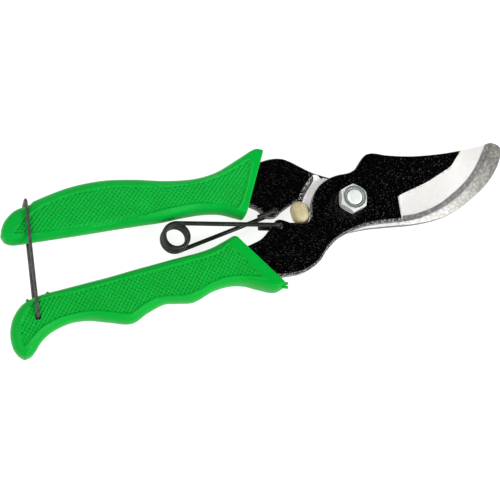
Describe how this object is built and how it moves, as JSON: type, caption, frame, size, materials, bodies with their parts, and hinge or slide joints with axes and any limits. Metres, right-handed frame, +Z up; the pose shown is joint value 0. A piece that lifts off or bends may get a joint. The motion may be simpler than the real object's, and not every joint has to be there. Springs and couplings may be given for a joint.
{
  "type": "pruning shears",
  "caption": "Bypass pruning shears with a curved blade over a hook jaw, black hammered-paint levers, knurled green grips, an opening spring and a wire catch, latched closed.",
  "frame": {"origin": "where the pivot axis meets the outer face of the bolt's head, the lowest point as the shears lie flat", "axes": "+X along the tool towards the jaws, +Y towards the hook's grip, +Z up through the pivot towards the nut"},
  "size_m": [0.2088, 0.0601, 0.0163],
  "materials": {
    "green_plastic": "green moulded plastic with a diamond knurl on the panels",
    "black_paint": "glossy black hammered paint, with the blade's grind and the pivot strip bare steel",
    "zinc_plate": "bright zinc plating",
    "black_spring_wire": "blackened spring steel",
    "cream_rubber": "cream rubber"
  },
  "bodies": {
    "blade_side": {"blade_lever": "black_paint", "lower_grip": "green_plastic", "pivot_bolt": "zinc_plate", "pivot_nut": "zinc_plate", "bumper": "cream_rubber"},
    "hook_side": {"hook_lever": "black_paint", "upper_grip": "green_plastic"},
    "spring_front": {"blade_spring_leg": "black_spring_wire"},
    "spring_rear": {"hook_spring_leg": "black_spring_wire"},
    "catch": {"catch_wire": "black_spring_wire"}
  },
  "joints": [
    {"name": "handle_hinge", "type": "hinge", "parent": "blade_side", "child": "hook_side", "pos_m": [0, 0, 0], "axis": [0, 0, -1], "range_deg": [0, 24]},
    {"name": "blade_leg_hinge", "type": "hinge", "parent": "blade_side", "child": "spring_front", "pos_m": [-0.0305, -0.0038, 0], "axis": [0, 0, -1], "range_deg": [0, 19]},
    {"name": "hook_leg_hinge", "type": "hinge", "parent": "hook_side", "child": "spring_rear", "pos_m": [-0.0301, 0.0029, 0], "axis": [0, 0, 1], "range_deg": [0, 23]},
    {"name": "catch_hinge", "type": "hinge", "parent": "blade_side", "child": "catch", "pos_m": [-0.1286, -0.0184, 0], "axis": [0, 0, 1], "range_deg": [0, 192]}
  ],
  "couplings": [
    {"joint": "blade_leg_hinge", "follows": "handle_hinge", "ratio": 0.7881},
    {"joint": "hook_leg_hinge", "follows": "handle_hinge", "ratio": 0.9563},
    {"joint": "catch_hinge", "follows": "handle_hinge", "ratio": 8}
  ]
}
